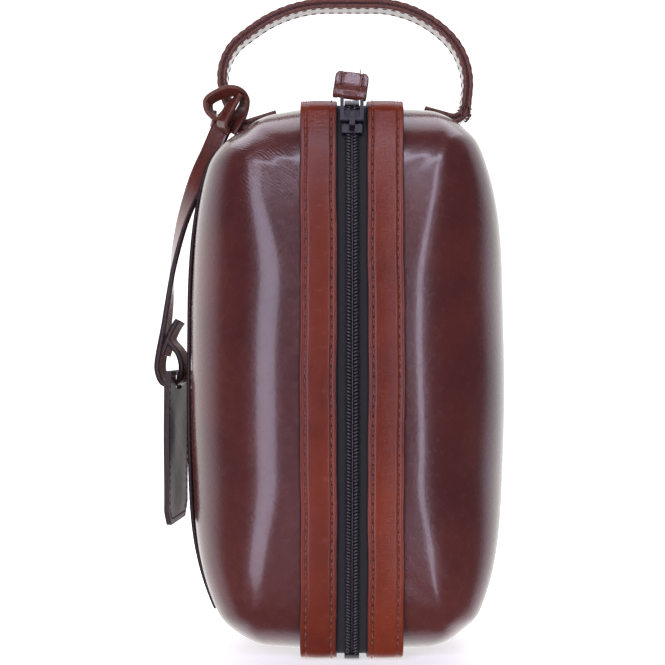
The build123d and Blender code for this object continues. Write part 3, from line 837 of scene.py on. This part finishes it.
section = strap_profile(HANDLE_WIDTH, STRAP_T, (-HANDLE_SEAM, HANDLE_SEAM))
for piece, node in (
        (carry("handle_outer_leather", handle_path, Y_WAY, section,
               [STRAP_LEATHER, RAW_EDGE], layer, heights=scallop), "handle_outer_strap"),
        (carry("handle_inner_leather", handle_path, Y_WAY, strap_profile(HANDLE_WIDTH, STRAP_T),
               [STRAP_LEATHER, RAW_EDGE], -layer), "handle_inner_strap"),
        (carry("handle_core_web", handle_path, Y_WAY, strap_profile(HANDLE_WIDTH - 0.8, CORE_T + 0.1, edge=0.2),
               [EDGE, EDGE]), "handle_core")):
    bend(piece, ("bag", "handle"), HINGE_BEND, "strap_leather", node)
outside = np.cross(ways(handle_path), Y_WAY)
for row, y in (("near", -HANDLE_SEAM), ("far", HANDLE_SEAM)):
    for face, lift, sign in (("outer", layer + STRAP_T / 2 - 0.1, 1), ("inner", -layer - STRAP_T / 2 + 0.1, -1)):
        spots, way = evenly(handle_path + (0, y, 0) + outside * lift, STITCH_PITCH, STITCH_PITCH / 2)
        up = sign * np.cross(way, np.broadcast_to([0, 1.0, 0], way.shape))
        stitch = capsule(STITCH_LENGTH, STITCH_RADIUS)
        bend(scatter(f"handle_{face}_{row}_stitches", stitch, spots, way, up, THREAD),
             ("bag", "handle"), HINGE_BEND, "strap_leather")

for side, sign in (("left", -1), ("right", 1)):
    x = np.linspace(29, 51, 30)
    z = np.array([top_height(sign * v) for v in x]) + 0.5
    path = np.stack([sign * x, 0 * x, z], -1)
    across = np.broadcast_to([0, -float(sign), 0], path.shape)
    piece = carry(f"handle_anchor_{side}_pad", path, across, strap_profile(21.0, 1.0, (-9, 9)), [STRAP_LEATHER, EDGE])
    place(piece, "bag", "strap_leather", f"handle_anchor_{side}")
    for row, y in (("near", -9.0), ("far", 9.0)):
        spots, way = evenly(path + (0, y, 0.35), STITCH_PITCH, 1.5)
        stitch_line(f"anchor_{side}_{row}", spots, way, np.tile((0, 0, 1.0), (len(spots), 1)), "bag", "strap_leather")


# ---- knot, tag strap and tag -----------------------------------------------------
KNOT_PULL = 0.88                               # the knot is pulled tight about this place, in X and Z
KNOT_X, KNOT_Z, KNOT_DROP = -49.8, 246.0, 1.2
LOOP_WAY = (0.28, 1, 0)                        # the strap's loop hangs turned a little


def ribbon(name, control, count, width, thickness, edge=EDGE, tight=False):
    """A strap through control points (x, y, z, and its width direction's x, y, z)."""
    control = eased(control, count)
    if tight:
        control[:, 0] = KNOT_X + KNOT_PULL * (control[:, 0] - KNOT_X)
        control[:, 2] = KNOT_Z - KNOT_DROP + KNOT_PULL * (control[:, 2] - KNOT_Z)
    section = strap_profile(width, thickness, columns=12)
    return carry(name, control[:, :3], control[:, 3:], section, [STRAP_LEATHER, edge])


def knot_ribbon(name, control, count, width, thickness, *replaced):
    """One of the knot's strands, which all ride on the handle."""
    place(ribbon(name, control, count, width, thickness, RAW_EDGE, tight=True), "handle", "strap_leather", *replaced)


knot_ribbon("knot_front_loop", [
    (-62.0, -10.0, 251.5, 0.1, 1, 0.1), (-65.5, -11.5, 249.4, 0.1, 1, 0.35), (-69.0, -12.5, 252.5, 0.35, 1, 0.1),
    (-69.2, -13.0, 257.5, 0.4, 1, -0.2), (-64.0, -13.5, 261.0, 0.2, 1, -0.45), (-58.0, -13.5, 263.0, 0, 1, -0.5),
    (-53.0, -12.5, 262.0, -0.3, 1, -0.4), (-50.2, -10.0, 258.0, -0.5, 0.9, 0), (-51.8, -8.8, 252.5, -0.6, 0.6, 0.4),
    (-55.2, -8.6, 247.0, -0.75, 0.4, 0.45), (-58.6, -8.2, 242.0, -0.8, 0.3, 0.5)], 120, 7.6, 2.0,
    "tag_strap_knot")
knot_ribbon("knot_crossing_strand", [
    (-52.4, -15.2, 260.5, -0.4, 1, -0.2), (-56.0, -15.6, 256.0, -0.45, 0.8, 0.25),
    (-59.6, -15.0, 250.5, -0.5, 0.7, 0.3),
    (-61.8, -13.6, 245.4, -0.55, 0.7, 0.2), (-60.6, -11.0, 241.0, -0.5, 0.8, 0.0)], 60, 7.6, 2.0)
knot_ribbon("knot_back_wrap", [
    (-52.0, -8.0, 251.0, 0, 0, 1), (-50.8, 0.0, 249.0, 0, 0, 1),
    (-53.5, 9.0, 248.0, 0, 0, 1), (-60.0, 11.5, 248.0, 0, 0, 1),
    (-66.5, 8.5, 248.0, 0, 0, 1), (-68.6, 0, 249.0, 0, 0, 1), (-66.5, -9.0, 250.0, 0.1, 0.2, 1)], 70, 6.0, 1.8)
knot_ribbon("knot_loose_end", [
    (-55.5, -5.5, 250.0, 0.8, 0.5, 0.2), (-53.0, -4.5, 245.5, 0.8, 0.5, 0.3), (-50.0, -3.0, 243.0, 0.7, 0.5, 0.5)],
    24, 6.5, 1.8)

TAG_LOOP_Z = JOINTS["tag_flap"]["pos_m"][2] / MM
hanging_strap = ribbon("tag_strap_leather", [
    (-59.2, -8.6, 247.5, -0.8, 0.35, 0.3), (-61.8, -8.8, 241.5, -0.85, 0.3, 0.3), (-66.4, -8.6, 231.0, -0.8, 0.35, 0.3),
    (-72.6, -7.0, 218.5, -0.75, 0.55, 0.25), (-80.0, -4.0, 199.0, -0.5, 0.9, 0.15), (-84.8, -1.0, 178.0, -0.2, 1, 0),
    (-86.9, 0, 160.0, 0.1, 1, 0), (-88.3, 0, 149.0, 0.2, 1, 0), (-90.6, 0, TAG_LOOP_Z + 4.5, *LOOP_WAY),
    (-91.2, 0, TAG_LOOP_Z - 2.5, *LOOP_WAY), (-89.2, 0, TAG_LOOP_Z - 8.3, *LOOP_WAY),
    (-85.6, 0, TAG_LOOP_Z - 9.6, *LOOP_WAY),
    (-81.2, 0, TAG_LOOP_Z - 8.0, *LOOP_WAY), (-79.6, 0, TAG_LOOP_Z - 1.5, *LOOP_WAY),
    (-81.2, 0, TAG_LOOP_Z + 5.0, *LOOP_WAY),
    (-85.2, 0, TAG_LOOP_Z + 10.0, *LOOP_WAY), (-86.6, 0, TAG_LOOP_Z + 13.2, *LOOP_WAY)], 220, 10.0, 2.5)
bend(hanging_strap, ("handle", "tag_strap"), ((-60.0, -8.7, 246.2), (-64.0, -8.7, 236.0)), "strap_leather", "tag_strap")
place(ribbon("tag_strap_tip", [
    (-88.9, 0, TAG_LOOP_Z + 4.0, *LOOP_WAY), (-86.9, 0, TAG_LOOP_Z + 10.0, *LOOP_WAY),
    (-84.4, 0, TAG_LOOP_Z + 16.0, *LOOP_WAY),
    (-81.6, 0, TAG_LOOP_Z + 20.5, *LOOP_WAY)], 30, 10.0, 2.5), "tag_strap", "strap_leather")

front_low, front_high = box_mm("tag_front")
back_low, back_high = box_mm("tag_back")
tag_top, tag_bottom, tag_half = front_high[2], front_low[2], front_high[1]
TAG_TURN = 0.08                                # the tag hangs turned a little about the strap


def tag_layer(name, x_low, x_high, node):
    """One leather layer of the tag: a panel with cut corners and a slot for the strap, built as a
    grid of rows whose width narrows at the corners, split either side of the slot."""
    corner, slot_low, slot_high, slot_half = 7.0, TAG_LOOP_Z - 12.0, TAG_LOOP_Z - 5.2, 6.2
    each = 9                                   # columns on either side of the slot
    columns = 2 * each
    breaks = [slot_low, slot_high, tag_bottom + corner, tag_top - corner]
    z = np.unique(np.concatenate([np.linspace(tag_bottom, tag_top, 40), breaks]))
    half = tag_half - corner * np.clip(np.maximum(tag_bottom + corner - z, z - tag_top + corner) / corner, 0, 1)
    y = np.empty((len(z), columns))
    y[:, :each] = -half[:, None] + (half[:, None] - slot_half) * np.linspace(0, 1, each)
    y[:, each:] = slot_half + (half[:, None] - slot_half) * np.linspace(0, 1, each)
    swell = 0.25 * np.sin(z[:, None] / 9.0) * np.sin(y / 7.0) + TAG_TURN * (y + tag_half)
    height = np.broadcast_to(z[:, None], y.shape)
    points = [np.stack([x + swell, y, height], -1).reshape(-1, 3) for x in (x_low, x_high)]
    count = len(z) * columns
    row, column = np.divmod(np.arange((len(z) - 1) * (columns - 1)), columns - 1)
    in_slot = (column == each - 1) & (slot_low - 0.01 <= z[row]) & (z[row + 1] <= slot_high + 0.01)
    quads = grid_faces(len(z), columns)[~in_slot]
    edges = np.concatenate([quads[:, [k, (k + 1) % 4]] for k in range(4)])
    pairs = {tuple(e) for e in edges.tolist()}
    rim = np.array([e for e in edges.tolist() if (e[1], e[0]) not in pairs])
    sides = np.stack([rim[:, 0], rim[:, 1], rim[:, 1] + count, rim[:, 0] + count], -1)
    faces = [*quads[:, ::-1], *(quads + count), *sides]
    indices = np.zeros(len(faces), int)
    indices[2 * len(quads):] = 1
    piece = outward(mesh(name, np.concatenate(points), faces, [TAG_LEATHER, EDGE], indices, smooth=False))
    return place(piece, "tag", "tag_leather", node)


tag_layer("tag_front_leather", front_low[0], front_high[0], "tag_front")
tag_layer("tag_back_leather", back_low[0], back_high[0], "tag_back")
inset, cut = 2.6, 8
seam_y, seam_low, seam_high = tag_half - inset, tag_bottom + inset, tag_top - inset
ring_path = np.array([
    [0, -seam_y, tag_bottom + cut], [0, cut - tag_half, seam_low], [0, tag_half - cut, seam_low],
    [0, seam_y, tag_bottom + cut], [0, seam_y, tag_top - cut], [0, tag_half - cut, seam_high],
    [0, cut - tag_half, seam_high], [0, -seam_y, tag_top - cut], [0, -seam_y, tag_bottom + cut]])
for face, x, sign in (("outer", front_low[0], -1.0), ("inner", back_high[0], 1.0)):
    spots, along = evenly(ring_path + (x, 0, 0), 3.4, 0.5)
    clear = (spots[:, 2] < tag_top - 4.5) | (np.abs(spots[:, 1]) > 7.5)       # none beside the slot
    spots, along = spots[clear], along[clear]
    spots[:, 0] += TAG_TURN * (spots[:, 1] + tag_half)
    stitch_line(f"tag_{face}", spots, along, np.tile((sign, 0, 0), (len(spots), 1)), "tag", "tag_leather",
                length=2.5, radius=0.3)


# ---- puller ---------------------------------------------------------------------
PIVOT = np.array(JOINTS["puller_swing"]["pos_m"]) / MM
lean = np.arctan2(PIVOT[2] - MID_Z, ARC_Y - PIVOT[1]) - radians(3)
PULL_WAY = np.array([0, np.sin(lean), np.cos(lean)])
PULL_OUT = np.array([0, -np.cos(lean), np.sin(lean)])
TILT = radians(8)
ring_reach = (box_mm("puller_ring")[1][2] - PIVOT[2]) / np.cos(lean)
bar = PIVOT + PULL_WAY * (ring_reach - 1.0) + (-0.9, 0, 0)
side_way = np.array([1.0, 0, 0]) * np.cos(TILT) - PULL_WAY * np.sin(TILT)
up_way = PULL_WAY * np.cos(TILT) + np.array([1.0, 0, 0]) * np.sin(TILT)
fold = np.linspace(0, pi, 14)
up_run = np.array([9.4, 9.0, 8.2, 7.0, 5.6, 4.4, 3.2, 2.2, 1.2])
section_u = np.concatenate([up_run, -1.75 * np.sin(fold), up_run[::-1]])
section_v = np.concatenate([np.full(7, 1.12), [1.25, 1.5], 1.75 * np.cos(fold), [-1.5, -1.25], np.full(7, -1.12)])
path = bar + section_u[:, None] * up_way + section_v[:, None] * PULL_OUT
rounding = 1 - 0.2 * smoothstep(section_u, 7.0, 10.0) ** 2
across = np.broadcast_to(side_way, path.shape)
PULLER_SEAM = 4.7                              # middle of the tab to each row of stitches
section = strap_profile(15.0, STRAP_T, (-PULLER_SEAM, PULLER_SEAM))
place(carry("puller_tab_leather", path, across, section, [STRAP_LEATHER, EDGE], widths=rounding),
      "puller", "strap_leather", "puller_leather")
for row, x in (("left", -PULLER_SEAM), ("right", PULLER_SEAM)):
    for face, sign in (("front", 1.0), ("back", -1.0)):
        line = bar + side_way * x + np.linspace(1.6, 8.4, 3)[:, None] * up_way + sign * 2.02 * PULL_OUT
        stitch_line(f"puller_{face}_{row}", line, np.tile(up_way, (3, 1)), np.tile(sign * PULL_OUT, (3, 1)),
                    "puller", "strap_leather", slant=0.0, length=2.7, radius=0.33)
tail = eased([bar + up_way * 9.2 + side_way * 3.0, bar + up_way * 10.8 + side_way * 3.3 + PULL_OUT * 0.3,
              bar + up_way * 12.4 + side_way * 2.8], 12)
turn = np.linspace(0, 2 * pi, 8, endpoint=False)
across = np.broadcast_to(side_way, tail.shape)
section = (0.22 * np.stack([np.cos(turn), -np.sin(turn)], -1), np.zeros(8, int))
place(carry("puller_thread_end", tail, across, section, [THREAD]), "puller", "strap_leather")


# ---- floor, light, camera ---------------------------------------------------------
material, tree, shader, spot = start("studio_floor", Roughness=0.9)
depth = add(tree, "ShaderNodeSeparateXYZ", Vector=spot).outputs["Y"]
# painted light: the floor is grey without glow in front and turns white and glowing towards the back
behind = add(tree, "ShaderNodeMapRange", Value=depth, i1=-0.25, i2=0.05).outputs[0]
tree.links.new(ramp(tree, behind, [(0.0, "#8f8c95"), (1.0, "#fbfafd")]), shader.inputs["Base Color"])
tree.links.new(ramp(tree, behind, [(0.0, 0.0), (1.0, 0.85)]), shader.inputs["Emission Strength"])
shader.inputs["Emission Color"].default_value = linear("#ffffff")       # painted glow: the floor behind the bag glows white with no lamp, as pale as the wall
FLOOR = 60000.0
corners = [(x * FLOOR, y * FLOOR, -0.4) for x, y in ((-1, -1), (1, -1), (1, 1), (-1, 1))]
floor = mesh("studio_floor", corners, [(0, 1, 2, 3)], [material], smooth=False)
floor.visible_glossy = floor.visible_shadow = False        # the leather mirrors only the studio's lights

world = bpy.data.worlds.new("studio")
bpy.context.scene.world = world
world.use_nodes = True
tree = world.node_tree
sky = tree.nodes["Background"]
heading = add(tree, "ShaderNodeSeparateXYZ", Vector=add(tree, "ShaderNodeTexCoord").outputs["Generated"])
leaning = add(tree, "ShaderNodeMath", {"operation": "MULTIPLY_ADD"}, i0=heading.outputs["X"], i1=-0.05, i2=0.5)
facing = add(tree, "ShaderNodeMath", {"operation": "MULTIPLY_ADD"},
             i0=heading.outputs["Y"], i1=0.5, i2=leaning.outputs[0])
glow = ramp(tree, facing.outputs[0], [(0.0, "#46434b"), (0.49, "#4a4750"), (0.63, "#d9d5e6"), (0.8, "#ffffff")])
tree.links.new(glow, sky.inputs["Color"])
sky.inputs["Strength"].default_value = 1.45
bpy.context.scene.view_settings.view_transform = "Standard"


def softbox(name, place_mm, aim_mm, size_mm, power, code):
    """A soft rectangular lamp at one place, turned towards another."""
    lamp = bpy.data.lights.new(name, "AREA")
    lamp.shape, lamp.size, lamp.size_y = "RECTANGLE", size_mm[0] * MM, size_mm[1] * MM
    lamp.energy, lamp.color = power, linear(code)[:3]
    holder = bpy.data.objects.new(name, lamp)
    bpy.context.collection.objects.link(holder)
    holder.location = np.array(place_mm) * MM
    way = np.array(aim_mm, float) - np.array(place_mm, float)
    holder.rotation_euler = Vector(way).to_track_quat("-Z", "Y").to_euler()


softbox("left_front_softbox", (-450, -1060, 125), (0, 0, 125), (430, 2000), 13, "#e9e4ff")
softbox("right_front_softbox", (270, -1120, 125), (0, 0, 125), (120, 2000), 6.6, "#e9e4ff")
softbox("high_front_softbox", (0, -760, 888), (0, -60, 250), (700, 64), 1.9, "#e9e4ff")
softbox("top_softbox", (0, 250, 1100), (0, 0, 200), (1400, 800), 7, "#f3f0ff")

camera = bpy.data.cameras.new("camera")
camera.sensor_width, camera.lens = 36.0, 81.85
camera.clip_start = 0.01
view = bpy.data.objects.new("camera", camera)
view.location = (-0.0086, -0.725, 0.146)
view.rotation_euler = (pi / 2, 0, 0)
bpy.context.collection.objects.link(view)
bpy.context.scene.camera = view
